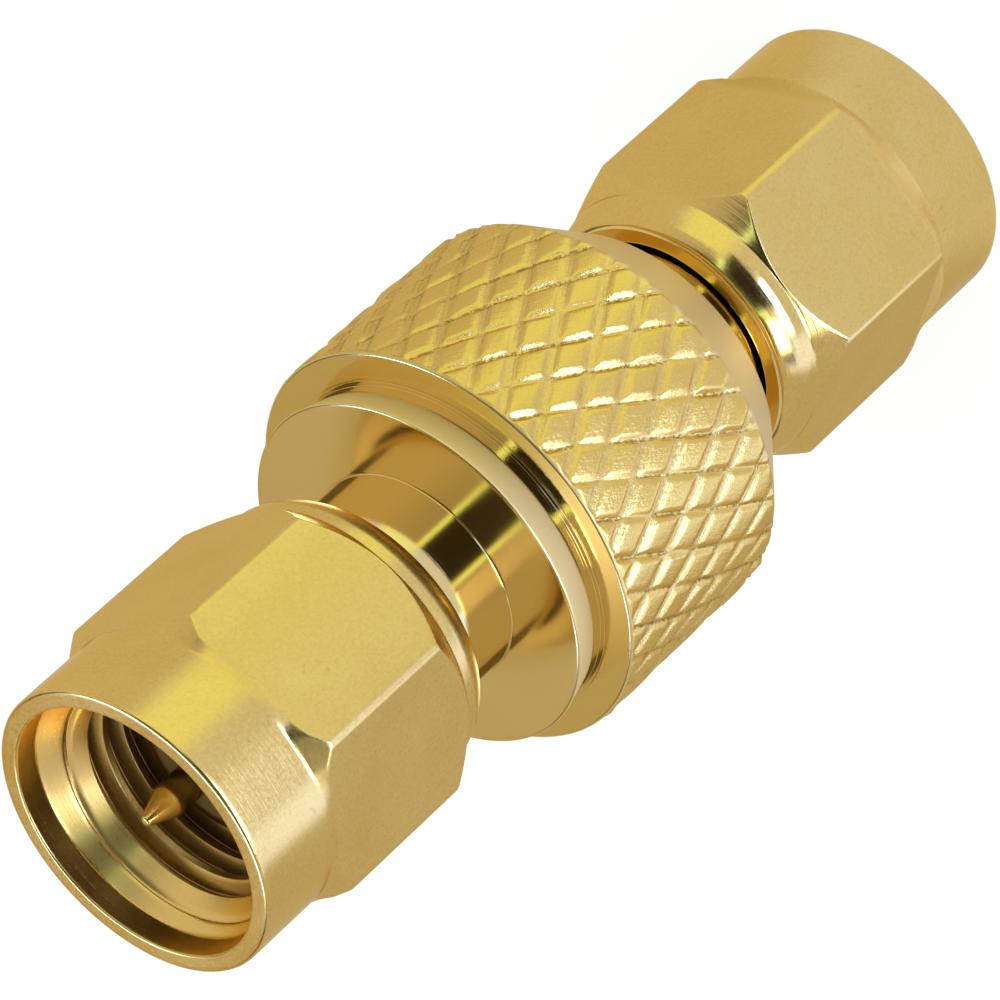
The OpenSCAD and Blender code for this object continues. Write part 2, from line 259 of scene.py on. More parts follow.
def knurled_body(finish):
    """Barrel as a grid of angle and height whose steps follow the grooves, and the necks, bores and sleeve turned on
    every sixth column. Rings of flat many-sided faces join the two on the barrel's end faces."""
    columns = KNURL_COUNT * BODY_FINE
    angles = even_angles(columns) + KNURL_TURN
    step = 2 * KNURL_ROW / BODY_FINE
    first_step = math.ceil((BARREL_LOW + FOOT_CLEAR - KNURL_FIRST) / step)
    last_step = math.floor((BARREL_HIGH - HEAD_CLEAR - KNURL_FIRST) / step)
    heights = KNURL_FIRST + step * np.arange(first_step, last_step + 1)
    bevel_r = BARREL_R - BEVEL_LEN * BEVEL_SLOPE
    edge_r = BARREL_R - BARREL_EDGE
    foot_path = [
        (bevel_r - END_REACH, BARREL_LOW), (bevel_r, BARREL_LOW),
        (bevel_r + END_REACH * BEVEL_SLOPE, BARREL_LOW + END_REACH),
    ]
    head_path = [
        (edge_r + END_REACH, BARREL_HIGH - END_REACH), (edge_r, BARREL_HIGH), (edge_r - END_REACH, BARREL_HIGH),
    ]
    foot = eased(foot_path, [0, 0.04, 0])[:-1]
    head = eased(head_path, [0, 0.03, 0])[1:]
    radius, groove, band = knurl_shape(angles[None, :], heights[:, None])
    tall = np.repeat(heights[:, None], columns, 1)
    middle = np.stack([radius * np.cos(angles), radius * np.sin(angles), tall], -1)
    barrel = np.concatenate([turned(foot, angles), middle, turned(head, angles)])
    knurled = slice(len(foot), len(foot) + len(heights))
    depth, bands = np.zeros(barrel.shape[:2]), np.zeros(barrel.shape[:2])
    depth[knurled], bands[knurled] = groove, band

    coarse = columns // BODY_COARSE
    back = NUT_LEN
    path = [
        (edge_r - END_REACH - END_RING, BARREL_HIGH), (SPIGOT_R, BARREL_HIGH), (SPIGOT_R, JOINT_AT),
        (SHOULDER_R, JOINT_AT), (SHOULDER_R, JOINT_AT - SHOULDER_LEN), (SLEEVE_BORE_R, JOINT_AT - SHOULDER_LEN),
        (SLEEVE_BORE_R, back - SLEEVE_END), (SLEEVE_R, back - SLEEVE_END), (SLEEVE_R, back - NECK_REACH),
        (NECK_R, back - NECK_REACH), (NECK_R, back - NECK_GROOVE[1]), (NECK_GROOVE_R, back - NECK_GROOVE[1]),
        (NECK_GROOVE_R, back - NECK_GROOVE[0]), (NECK_R, back - NECK_GROOVE[0]), (NECK_R, BARREL_LOW),
        (bevel_r - END_REACH - END_RING, BARREL_LOW),
    ]
    cuts = [0, .05, .04, .02, .02, .02, .04, .03, .04, .04, .03, .03, .03, .03, .06, 0]
    core = turned(eased(path, cuts), angles[::BODY_COARSE])

    first = barrel.shape[0] * columns
    faces = grid_faces(barrel.shape[0], columns, False).tolist()
    faces += grid_faces(core.shape[0], coarse, False, first).tolist()
    j = np.arange(coarse)
    fan = (BODY_COARSE * j[:, None] + np.arange(BODY_COARSE + 1)[None, :]) % columns
    top_row = (barrel.shape[0] - 1) * columns
    last_core = first + (core.shape[0] - 1) * coarse
    here, after = j[:, None], (j[:, None] + 1) % coarse
    faces += np.concatenate([top_row + fan, first + after, first + here], 1).tolist()
    faces += np.concatenate([fan[:, ::-1], last_core + here, last_core + after], 1).tolist()
    points = np.concatenate([barrel.reshape(-1, 3), core.reshape(-1, 3)])
    rest = np.zeros(core.shape[0] * coarse)
    values = {"groove": np.concatenate([depth.ravel(), rest]), "band": np.concatenate([bands.ravel(), rest])}
    return make_piece("turned_body", points, faces, ["knurled_body"], "body", finish, values)


def pressed_insert(finish):
    """Collar, neck and sleeve turned in one. The collar has a flat face, a tapered rim, a narrow step on a foot
    and a spigot below."""
    back = UPPER_BACK
    path = [
        (SLEEVE_BORE_R, JOINT_AT + SHOULDER_LEN - LEDGE_DROP), (SHOULDER_R, JOINT_AT + SHOULDER_LEN),
        (SHOULDER_R, SPIGOT_END),
        (SPIGOT_R - PRESS_GAP, SPIGOT_END), (SPIGOT_R - PRESS_GAP, BARREL_HIGH), (COLLAR_FOOT_R, BARREL_HIGH),
        (COLLAR_FOOT_R, COLLAR_FOOT_AT), (COLLAR_STEP_R, COLLAR_FOOT_AT), (COLLAR_STEP_R, COLLAR_STEP_AT),
        (COLLAR_R, COLLAR_FACE), (NECK_R, COLLAR_FACE),
        (NECK_R, back + NECK_GROOVE[0]), (NECK_GROOVE_R, back + NECK_GROOVE[0]),
        (NECK_GROOVE_R, back + NECK_GROOVE[1]), (NECK_R, back + NECK_GROOVE[1]), (NECK_R, back + NECK_REACH),
        (SLEEVE_R, back + NECK_REACH), (SLEEVE_R, back + SLEEVE_END), (SLEEVE_BORE_R, back + SLEEVE_END),
    ]
    cuts = [.02, .02, .03, .04, .03, .01, .01, .012, .03, .07, .04, .03, .03, .03, .03, .05, .04, .04, .03]
    profile = eased(path, cuts)
    return lathe_piece("pressed_insert", profile, INSERT_COLUMNS, ["plug_insert"], "body", finish)


# Coupling nuts.

HEX_ROUNDING = 0.28
THREAD_PHASES = np.array([
    0, .05, .0625, .085, .15, .22, .29, .35, .375, .4,
    .5, .6, .625, .65, .71, .78, .85, .915, .9375, .95,
])
THREAD_ROOT_SHARE = 1 / 16
THREAD_CREST_SHARE = 3 / 8
THREAD_TOP = 8.65
LEAD_LINE = 0.035
LEAD_LINE_WIDTH = 0.07
SHOULDER_START = 14
SHOULDER_FLAT = 0.5
SHOULDER_POINTS = 10
BACK_STEP = 0.06
REAR_CUT_SHARE = 0.28
REAR_CUT_LEAST = 0.005
REAR_CUT_MOST = 0.06
SMOOTH_EDGE = 0.02
FRONT_RAMP = 0.3
CORNER_SPACING = np.array([0, .3, .6, .9, 1.2, 1.5, 1.8, 2.3, 3.2, 4.6, 6.5, 9, 12, 15, 18, 21, 24, 27, 30])


def nut_angles():
    """Angles round the nut, close together at the hexagon's corners, which stand at 30 degrees and every 60 more."""
    sector = np.concatenate([CORNER_SPACING, 60 - CORNER_SPACING[-2:0:-1]])
    return np.radians((30 + 60 * np.arange(6)[:, None] + sector[None, :]).ravel())


def hexagon_radius(angles):
    """Radius of a hexagon with rounded corners: the flat's distance over the cosine of the angle from its middle,
    and near a corner the far side of a circle that touches both flats."""
    from_flat = (angles + TURN / 12) % (TURN / 6) - TURN / 12
    from_corner = angles % (TURN / 6) - TURN / 12
    flat = NUT_FLAT_R / np.cos(from_flat)
    centre = (NUT_FLAT_R - HEX_ROUNDING) / math.cos(TURN / 12)
    touch = math.atan(HEX_ROUNDING * math.sin(TURN / 12) / (centre + HEX_ROUNDING * math.cos(TURN / 12)))
    under = np.maximum(HEX_ROUNDING ** 2 - (centre * np.sin(from_corner)) ** 2, 0)
    arc = centre * np.cos(from_corner) + np.sqrt(under)
    return np.where(np.abs(from_corner) < touch, arc, flat)


def thread_radius(angles, height):
    """Radius of the nut's front hollow: a right-handed thread with 60 degree flanks, whose roots lie where the height
    in pitches less the angle in turns is a whole number, opened by a lead-in cone and a plain mouth. The cone carries
    a faint helical line, a bell curve of the distance from the root."""
    phase = (height - NUT_LEN) / THREAD_PITCH - angles / TURN
    from_root = np.abs(phase - np.round(phase))
    flank = np.clip((from_root - THREAD_ROOT_SHARE) / (THREAD_CREST_SHARE - THREAD_ROOT_SHARE), 0, 1)
    thread = THREAD_MAJOR_R - (THREAD_MAJOR_R - THREAD_MINOR_R) * flank
    slope = (MOUTH_R - THREAD_MINOR_R) / LEAD_LEN
    cone = np.clip(MOUTH_R + (height - MOUTH_FLOOR) * slope, THREAD_MINOR_R, MOUTH_R)
    line = LEAD_LINE * np.exp(-(from_root / LEAD_LINE_WIDTH) ** 2) * (cone < MOUTH_R)
    return np.maximum(thread, cone + line)


def thread_grid(angles):
    """Points and quads of the front hollow. The rows climb one pitch in a turn, held between the thread's back and the
    mouth, so that they follow the crests. At the seam each row joins the row a pitch higher."""
    per_turn = len(THREAD_PHASES)
    lowest = math.floor((THREAD_BACK - NUT_LEN) / THREAD_PITCH) - 2
    starts = NUT_LEN + THREAD_PITCH * (np.arange(lowest, 1)[:, None] + THREAD_PHASES[None, :]).ravel()
    height = np.clip(starts[:, None] + THREAD_PITCH * angles[None, :] / TURN, THREAD_BACK, THREAD_TOP)
    radius = thread_radius(angles[None, :], height)
    points = np.stack([radius * np.cos(angles), radius * np.sin(angles), height], -1)
    rows, columns = height.shape
    low = np.arange(rows - 1)[:, None]
    left = np.arange(columns)[None, :]
    right = (left + 1) % columns
    lift = np.where(left == columns - 1, per_turn, 0)
    low_right, high_right = np.minimum(low + lift, rows - 1), np.minimum(low + 1 + lift, rows - 1)
    quads = [
        low * columns + left, (low + 1) * columns + left, high_right * columns + right, low_right * columns + right,
    ]
    return points, np.stack(np.broadcast_arrays(*quads), -1).reshape(-1, 4)


def nut_surface():
    """Points and faces of a nut in its own frame, from its back face, and where its rear is turned smooth. For each
    angle the profile runs from the thread's back through the rear bore, round the back face and a fine groove, over the
    round shoulder, up the rear cone to the hexagon, along the flat, down the corner cone to the round front and over
    the rim. The edges follow the curves where the cones meet the flats."""
    angles = nut_angles()
    hexagon = hexagon_radius(angles)
    column = np.ones_like(angles)

    def pair(radius, height):
        return np.stack([radius * column, height * column], -1)

    corner_r = NUT_FLAT_R / math.cos(TURN / 12)
    turns = np.radians(np.linspace(SHOULDER_START, 90, SHOULDER_POINTS))
    chord = (1 - np.cos(turns) + np.sin(turns)) / 2
    share_r = np.sin(turns) + SHOULDER_FLAT * (chord - np.sin(turns))
    share_z = 1 - np.cos(turns) + SHOULDER_FLAT * (chord - 1 + np.cos(turns))
    shoulder_r = NUT_BACK_R + (NUT_ROUND_R - NUT_BACK_R) * share_r
    shoulder_z = NUT_ROUNDING * share_z
    rear_slope = NUT_REAR_CONE / (corner_r - NUT_ROUND_R)
    rear_edge = NUT_ROUND_LEN + (hexagon - NUT_ROUND_R) * rear_slope
    rear_length = (hexagon - NUT_ROUND_R) * math.hypot(1, rear_slope)
    rear_cut = np.clip(REAR_CUT_SHARE * rear_length, REAR_CUT_LEAST, REAR_CUT_MOST)[:, None]
    front_slope = NUT_CONE_LEN / (corner_r - NUT_FRONT_R)
    front_edge = np.minimum(NUT_FRONT_AT - FRONT_RAMP, NUT_FRONT_AT - (hexagon - NUT_FRONT_R) * front_slope)
    corners = [
        pair(thread_radius(angles, THREAD_BACK * column), THREAD_BACK), pair(RELIEF_R, THREAD_BACK),
        pair(RELIEF_R, NUT_GROOVE[1]), pair(NUT_GROOVE_R, NUT_GROOVE[1]), pair(NUT_GROOVE_R, NUT_GROOVE[0]),
        pair(NECK_BORE_R, NUT_GROOVE[0]), pair(NECK_BORE_R, 0), pair(NUT_BACK_R, 0),
        pair(NUT_BACK_R + BACK_STEP, BACK_STEP), *[pair(r, z) for r, z in zip(shoulder_r, shoulder_z)],
        pair(NUT_ROUND_R, NUT_ROUND_LEN), pair(hexagon, rear_edge), pair(hexagon, front_edge),
        pair(NUT_FRONT_R, NUT_FRONT_AT), pair(NUT_FRONT_R, NUT_LEN), pair(MOUTH_R, NUT_LEN), pair(MOUTH_R, THREAD_TOP),
    ]
    cuts = [0, .02, .02, .02, .02, .02, .05, .015, 0, *[0] * len(turns), rear_cut, rear_cut, .05, .05, .1, .06, 0]
    profile = eased(corners, cuts)
    shell = turned(profile, angles)
    smooth = np.clip((hexagon - profile[..., 0]) / SMOOTH_EDGE, 0, 1) * (profile[..., 1] < NUT_FRONT_AT / 2)
    thread, thread_quads = thread_grid(angles)
    first = shell.shape[0] * len(angles)
    points = np.concatenate([shell.reshape(-1, 3), thread.reshape(-1, 3)])
    faces = np.concatenate([grid_faces(shell.shape[0], len(angles), False), thread_quads + first])
    return points, faces, np.concatenate([smooth.ravel(), np.zeros(thread.shape[0] * thread.shape[1])])


def coupling_nut(name, node, body, finish, lower):
    """Nut set on the upper plug, or turned by its angle at rest and tipped over onto the lower one."""
    points, faces, smooth = nut_surface()
    if lower:
        c, s = math.cos(LOWER_TURN), math.sin(LOWER_TURN)
        points = points @ np.array([[c, s, 0], [-s, c, 0], [0, 0, 1]])
        points = points * (1, -1, -1) + (0, 0, NUT_LEN)
    else:
        points = points + (0, 0, UPPER_BACK)
    return make_piece(name, points, faces.tolist(), [node], body, finish, {"smooth": smooth})


# Pieces inside the plugs.

BUSH_DISH = 0.03


def double_pin(finish):
    """Contact turned in one piece: a flange at the joint, a shank each way, and a coned pin at both ends."""
    shank_up, tip_up = UPPER_BACK + INSULATOR_END, UPPER_BACK + PIN_END
    shank_low, tip_low = NUT_LEN - INSULATOR_END, NUT_LEN - PIN_END
    path = [
        (0, tip_low), (PIN_TIP_R, tip_low), (PIN_R, tip_low + PIN_CONE_LEN), (PIN_R, shank_low), (CONTACT_R, shank_low),
        (CONTACT_R, JOINT_AT - FLANGE_HALF), (FLANGE_R, JOINT_AT - FLANGE_HALF), (FLANGE_R, JOINT_AT + FLANGE_HALF),
        (CONTACT_R, JOINT_AT + FLANGE_HALF), (CONTACT_R, shank_up), (PIN_R, shank_up), (PIN_R, tip_up - PIN_CONE_LEN),
        (PIN_TIP_R, tip_up), (0, tip_up),
    ]
    cuts = [0, .05, .08, .02, .02, .02, .02, .02, .02, .02, .02, .08, .05, 0]
    profile, nodes = eased(path, cuts), ["centre_contact"]
    return lathe_piece("double_pin", profile, PIN_COLUMNS, nodes, "body", finish, closed=False)


def bush(name, node, sign, reach, finish):
    """Stepped bush from the joint to its face inside the sleeve, with eased edges and a faint dish in that face."""
    r_step, r_out = SHOULDER_R - PRESS_GAP, SLEEVE_BORE_R - PRESS_GAP
    r_in, r_flange = CONTACT_R + PRESS_GAP, FLANGE_R + PRESS_GAP
    path = np.array([
        (r_flange, 0), (r_step, 0), (r_step, SHOULDER_LEN), (r_out, SHOULDER_LEN), (r_out, reach),
        (r_in, reach - BUSH_DISH), (r_in, FLANGE_HALF), (r_flange, FLANGE_HALF),
    ])
    profile = eased(path, [.02, .03, .03, .03, .05, .04, .02, .02])
    profile = profile * (1, sign) + (0, JOINT_AT)
    return lathe_piece(name, profile, RING_COLUMNS, [node], "body", finish)


def sealing_ring(name, node, base, sign, finish):
    """Soft ring with well rounded edges, on the neck's front face round the sleeve."""
    r_in = SLEEVE_R + PRESS_GAP
    r_out = r_in + GASKET_W
    path = np.array([(r_in, 0), (r_out, 0), (r_out, GASKET_T), (r_in, GASKET_T)])
    profile = eased(path, [.1, .1, .14, .14], steps=6, guard=1.3) * (1, sign) + (0, base)
    return lathe_piece(name, profile, RING_COLUMNS, [node], "body", finish)


# Shader expressions.

class Wire:
    """A socket that takes part in sums: an operator on values adds its Math node."""

    def __init__(self, tree, socket):
        self.tree, self.socket = tree, socket

    def maths(self, operation, *values):
        return self.tree.node("ShaderNodeMath", {"operation": operation}, dict(enumerate(values)))

    def __add__(self, other):
        return self.maths("ADD", self, other)

    def __radd__(self, other):
        return self.maths("ADD", other, self)

    def __sub__(self, other):
        return self.maths("SUBTRACT", self, other)

    def __rsub__(self, other):
        return self.maths("SUBTRACT", other, self)

    def __mul__(self, other):
        return self.maths("MULTIPLY", self, other)

    def __rmul__(self, other):
        return self.maths("MULTIPLY", other, self)

    def __pow__(self, other):
        return self.maths("POWER", self, other)


class Tree:
    """A node tree with one method that adds any node: its kind, its settings, the values or wires of its sockets, and
    which output it gives."""

    def __init__(self, node_tree):
        self.nodes, self.links = node_tree.nodes, node_tree.links
        self.nodes.clear()

    def node(self, kind, settings=None, sockets=None, output=0):
        made = self.nodes.new(kind)
        for key, value in (settings or {}).items():
            setattr(made, key, value)
        for key, value in (sockets or {}).items():
            socket = made.inputs[key]
            if isinstance(value, Wire):
                self.links.new(value.socket, socket)
            elif isinstance(value, tuple) and len(value) == 3 and socket.type == "RGBA":
                socket.default_value = (*value, 1)
            else:
                socket.default_value = value
        return Wire(self, made.outputs[output]) if len(made.outputs) else made

    def blend(self, share, first, second):
        """Colour between first and second by share."""
        sockets = {"Factor": share, 6: first, 7: second}
        return self.node("ShaderNodeMix", {"data_type": "RGBA"}, sockets, 2)

    def ease(self, value, low, high):
        """Smooth step from 0 to 1, as a value goes from low to high."""
        sockets = {"Value": value, "From Min": low, "From Max": high}
        return self.node("ShaderNodeMapRange", {"interpolation_type": "SMOOTHSTEP"}, sockets)

    def within(self, value, foot, top):
        """Smooth step up over the foot, times a smooth step down over the top, both pairs of a low and a high value."""
        return self.ease(value, *foot) * (1 - self.ease(value, *top))

    def held(self, name):
        """Value that the mesh holds at each point under a name."""
        return self.node("ShaderNodeAttribute", {"attribute_name": name}, None, 2)

    def joined(self, x, y, z):
        """Vector of three values."""
        return self.node("ShaderNodeCombineXYZ", None, {0: x, 1: y, 2: z})

    def place(self):
        """Object coordinates in millimetres."""
        spot = self.node("ShaderNodeTexCoord", output=3)
        return self.node("ShaderNodeVectorMath", {"operation": "SCALE"}, {0: spot, "Scale": 1 / MM})

    def parts(self, vector):
        """The three values of a vector."""
        split = self.node("ShaderNodeSeparateXYZ", None, {0: vector})
        return [Wire(self, split.socket.node.outputs[k]) for k in range(3)]

    def noise(self, vector, scale, detail=2.0, roughness=0.5):
        """Smooth noise with so many waves to a millimetre, and finer octaves by detail and roughness."""
        sockets = {"Vector": vector, "Scale": scale, "Detail": detail, "Roughness": roughness}
        return self.node("ShaderNodeTexNoise", None, sockets)

    def stretched(self, vector, x, y, z):
        """A vector times three numbers, one for each axis."""
        return self.node("ShaderNodeVectorMath", {"operation": "MULTIPLY"}, {0: vector, 1: (x, y, z)})


def from_axis(x, y):
    """Distance from the axis: the root of the sum of two squares."""
    return (x * x + y * y) ** 0.5


def new_finish(name):
    """An empty material and its tree."""
    finish = bpy.data.materials.new(name)
    finish.use_nodes = True
    return finish, Tree(finish.node_tree)


def close_finish(tree, constants, colour, roughness, height, distance):
    """Ends a finish: colour, roughness and bump height, which vary, go into one shader with its constants set on it."""
    bump = tree.node("ShaderNodeBump", None, {"Strength": 1.0, "Distance": distance, "Height": height})
    sockets = {"Base Color": colour, "Roughness": roughness, "Normal": bump, **constants}
    shader = tree.node("ShaderNodeBsdfPrincipled", None, sockets)
    tree.node("ShaderNodeOutputMaterial", None, {"Surface": shader})


GOLD_PALE = (0.81, 0.60, 0.235)
GOLD_DEEP = (0.75, 0.53, 0.18)
GOLD_CREAM = (0.88, 0.72, 0.38)
GOLD_SHADE_BROWN = (0.58, 0.39, 0.11)
GOLD_INSERT = (0.81, 0.66, 0.35)
GOLD_SHADED = (0.33, 0.21, 0.07)
GOLD_BORE_SHADE = (0.12, 0.075, 0.025)
GOLD_LEAD = (0.92, 0.68, 0.28)
GOLD_PIT = (0.42, 0.26, 0.08)
GOLD_DIAMOND = (0.80, 0.56, 0.16)
GOLD_BEVEL = (0.85, 0.71, 0.43)
GOLD_RIM = (0.90, 0.73, 0.36)
BRONZE_DARK = (0.36, 0.19, 0.07)
BRONZE_PALE = (0.50, 0.29, 0.11)
PTFE_SHADE = (0.80, 0.80, 0.76)
PTFE_WHITE = (0.90, 0.90, 0.87)
PTFE_PAINTED_SHADE = (0.16, 0.11, 0.05)
SILICONE_RED = (0.36, 0.055, 0.03)
SILICONE_BLOOM = (0.46, 0.10, 0.06)
METAL = {"Metallic": 1.0, "Specular Tint": (0.95, 0.85, 0.62)}

# Where finishes change, as pairs of a low and a high value in millimetres. Names that end in R are distances from the
# axis, and the rest are heights, which on a nut count from its back face.
NUT_HOLLOW_R = (3.56, 3.61)
NUT_CREST_R = (2.83, 2.93)
NUT_BACK_TOP = (0.03, 0.09)
NUT_HOLLOW_FOOT = (4.0, 4.2)
NUT_CORNER_FOOT = (5.8, 6.05)
NUT_CORNER_TOP = (6.42, 6.5)
NUT_FRONT_FOOT = (6.3, 6.5)
NUT_LEAD_FOOT = (7.0, 7.3)
NUT_MOUTH_FOOT = (8.15, 8.25)
BEVEL_FOOT = (10.1, 10.2)
BEVEL_TOP = (12.0, 12.3)
KNURL_FOOT = (12.0, 12.5)
KNURL_TOP = (18.02, 18.12)
END_EDGE_R = (5.5, 5.6)
END_EDGE_FOOT = (18.03, 18.07)
END_EDGE_TOP = (18.12, 18.15)
END_FACE_FOOT = (18.06, 18.12)
RIM_R = (4.76, 4.81)
RIM_FOOT = (18.45, 18.52)
RIM_TOP = (19.28, 19.34)
FACE_R = (3.0, 3.05)
FACE_FOOT = (19.30, 19.335)
SLEEVE_FOOT = (24.2, 24.7)
PIN_CONE_FROM_JOINT = (13.75, 13.9)
SHADE_RING_R = (1.1, 1.6)


def gold_base(tree, spot):
    """Colour of the plating: pale and deep gold in faint clouds, with a fine even speckle and a few small pits."""
    clouds = tree.noise(spot, scale=0.55, detail=3.0)
    speckle = tree.noise(spot, scale=11.0, detail=3.0, roughness=0.6)
    tone = tree.ease(clouds * 0.35 + speckle * 0.65, 0.35, 0.65)
    pits = tree.ease(tree.noise(spot, scale=4.2, detail=1.0), 0.72, 0.78)
    colour = tree.blend(tone, GOLD_DEEP, GOLD_PALE)
    return tree.blend(pits * 0.22, colour, GOLD_PIT), speckle


def rings_along(tree, spot, fine):
    """Turning marks: noise drawn out round the axis and packed close along it."""
    return tree.noise(tree.stretched(spot, 0.35, 0.35, fine), scale=1.0, detail=3.0, roughness=0.6)


def nut_gold(name, back, sign, polish, soften):
    """Plating of a nut: satin speckled flats, a bright round shoulder, turning marks on shoulder and round front, a
    cream back face and a yellow lead-in, with painted shade in the hollow: a browner mouth, and a darker thread with
    pale crests. Polish brightens the shoulder, and soften dulls the edge between flats and round front."""
    finish, tree = new_finish(name)
    spot = tree.place()
    colour, speckle = gold_base(tree, spot)
    x, y, z = tree.parts(spot)
    height = (z - back) * sign
    radius = from_axis(x, y)
    hollow = (1 - tree.ease(radius, *NUT_HOLLOW_R)) * tree.ease(height, *NUT_HOLLOW_FOOT)
    lead, mouth = tree.ease(height, *NUT_LEAD_FOOT), tree.ease(height, *NUT_MOUTH_FOOT)
    crest = 1 - tree.ease(radius, *NUT_CREST_R)
    # Painted shade in the nut's hollow: the mouth is blended browner, and the thread's roots darker than its crests.
    colour = tree.blend(hollow * mouth * 0.3, colour, GOLD_SHADE_BROWN)
    colour = tree.blend(hollow * (lead - mouth) * 0.8, colour, GOLD_LEAD)
    colour = tree.blend(hollow * (1 - lead) * (1 - crest) * 0.6, colour, GOLD_SHADED)
    colour = tree.blend((1 - tree.ease(height, *NUT_BACK_TOP)) * 0.8, colour, GOLD_CREAM)
    edge = tree.within(height, NUT_CORNER_FOOT, NUT_CORNER_TOP) * soften
    smooth = tree.held("smooth") * polish
    front = tree.ease(height, *NUT_FRONT_FOOT)
    rings = rings_along(tree, spot, 26.0)
    streaks = rings_along(tree, spot, 9.0)
    roughness = 0.24 + 0.10 * speckle - 0.14 * smooth + 0.10 * hollow + edge
    roughness = roughness + front * (rings - 0.5) * 0.18 - front * 0.09
    relief = speckle * (1 - smooth) * (0.7 - front * 0.45)
    relief = relief + rings * (front * 0.8 + smooth * 0.3) + streaks * smooth * 2.2
    close_finish(tree, METAL, colour, roughness, relief, distance=3.0e-6)
    return finish


def body_gold():
    """Plating of the barrel: bands scored along their grooves, rubbed diamonds, dark specks in the grooves, a satin
    lower bevel and a bright end with a dull edge."""
    finish, tree = new_finish("barrel_gold")
    spot = tree.place()
    colour, speckle = gold_base(tree, spot)
    x, y, z = tree.parts(spot)
    groove, band = tree.held("groove"), tree.held("band")
    around = x.maths("ARCTAN2", y, x) * (KNURL_COUNT / TURN)
    along = z * (0.5 / KNURL_ROW)
    u, v = around + along, around - along
    scores = tree.noise(tree.joined(u * 15.0, v * 0.8, 0.0), scale=1.0, detail=3.0, roughness=0.6)
    cross = tree.noise(tree.joined(v * 11.0, u * 1.1, 7.0), scale=1.0, detail=3.0, roughness=0.6)
    scuff = tree.noise(spot, scale=7.5, detail=4.0, roughness=0.7)
    colour = tree.blend((1 - band) * 0.65, colour, GOLD_DIAMOND)
    knurl = tree.within(z, KNURL_FOOT, KNURL_TOP)
    bevel = tree.within(z, BEVEL_FOOT, BEVEL_TOP)
    colour = tree.blend(bevel * 0.85, colour, GOLD_BEVEL)
    colour = tree.blend(tree.ease(z, *END_FACE_FOOT) * 0.8, colour, GOLD_INSERT)
    specks = tree.ease(groove, 0.7, 0.85) * tree.ease(scuff, 0.45, 0.55)
    colour = tree.blend(specks * 0.85, colour, GOLD_SHADED)
    edge = tree.within(z, END_EDGE_FOOT, END_EDGE_TOP) * tree.ease(from_axis(x, y), *END_EDGE_R)
    rubbed = 0.06 + 0.14 * scuff + (1 - groove) * 0.04
    roughness = 0.07 + 0.04 * speckle + knurl * rubbed + bevel * 0.38 + edge * 0.4
    scratched = scores * (0.4 + band) * 3.4 + cross * (1 - band) * 2.2 + scuff * 3.6
    relief = speckle * 0.5 + knurl * scratched + bevel * speckle
    close_finish(tree, METAL, colour, roughness, relief, distance=5.0e-6)
    return finish


def insert_gold():
    """Plating of the insert: a mirror on neck and step, a soft mirror on the face, a cream satin rim and a
    sleeve painted dark as shade deep in the socket."""
    finish, tree = new_finish("insert_gold")
    spot = tree.place()
    colour, speckle = gold_base(tree, spot)
    x, y, z = tree.parts(spot)
    radius = from_axis(x, y)
    rim = tree.ease(radius, *RIM_R) * tree.within(z, RIM_FOOT, RIM_TOP)
    face = tree.ease(z, *FACE_FOOT) * tree.ease(radius, *FACE_R)
    rings = rings_along(tree, spot, 24.0)
    colour = tree.blend(0.7, colour, GOLD_INSERT)
    colour = tree.blend(rim * 0.95, colour, GOLD_RIM)
    sleeve = tree.ease(z, *SLEEVE_FOOT)
    # Painted shade: the sleeve, deep in the socket, is blended nearly to black-brown.
    colour = tree.blend(sleeve * 0.9, colour, GOLD_BORE_SHADE)
    roughness = 0.05 + 0.04 * speckle + rim * (0.5 + 0.14 * speckle) + face * 0.07 + sleeve * 0.25
    relief = speckle * (0.12 + rim * 1.4) + rings * 0.2
    close_finish(tree, METAL, colour, roughness, relief, distance=2.5e-6)
    return finish


def pin_gold():
    """Bright plating of the contact, with painted shade that makes the shank, deep in the sockets, browner than the
    cones, and fine turning marks.
    """
    finish, tree = new_finish("contact_gold")
    spot = tree.place()
    colour, speckle = gold_base(tree, spot)
    offset = tree.parts(spot)[2] - JOINT_AT
    cone = tree.ease(offset.maths("ABSOLUTE", offset), *PIN_CONE_FROM_JOINT)
    # Painted shade: the shank, which stands deep in the sockets, is blended towards brown, and the cones much less.
    colour = tree.blend(0.95 - 0.75 * cone, colour, GOLD_SHADE_BROWN)
    rings = rings_along(tree, spot, 30.0)
    roughness = 0.10 + 0.06 * speckle + 0.06 * rings
    close_finish(tree, METAL, colour, roughness, rings + speckle * 0.4, distance=1.5e-6)
    return finish


def ring_bronze():
    """Drawn spring bronze: brown gold with fine lines along the wire."""
    finish, tree = new_finish("ring_bronze")
    spot = tree.place()
    tone = tree.noise(spot, scale=4.0, detail=3.0)
    lines = tree.noise(tree.stretched(spot, 0.4, 0.4, 18.0), scale=1.0, detail=2.0)
    colour = tree.blend(tone, BRONZE_DARK, BRONZE_PALE)
    close_finish(tree, METAL, colour, 0.25 + 0.15 * lines, lines + tone * 0.3, distance=2.0e-6)
    return finish


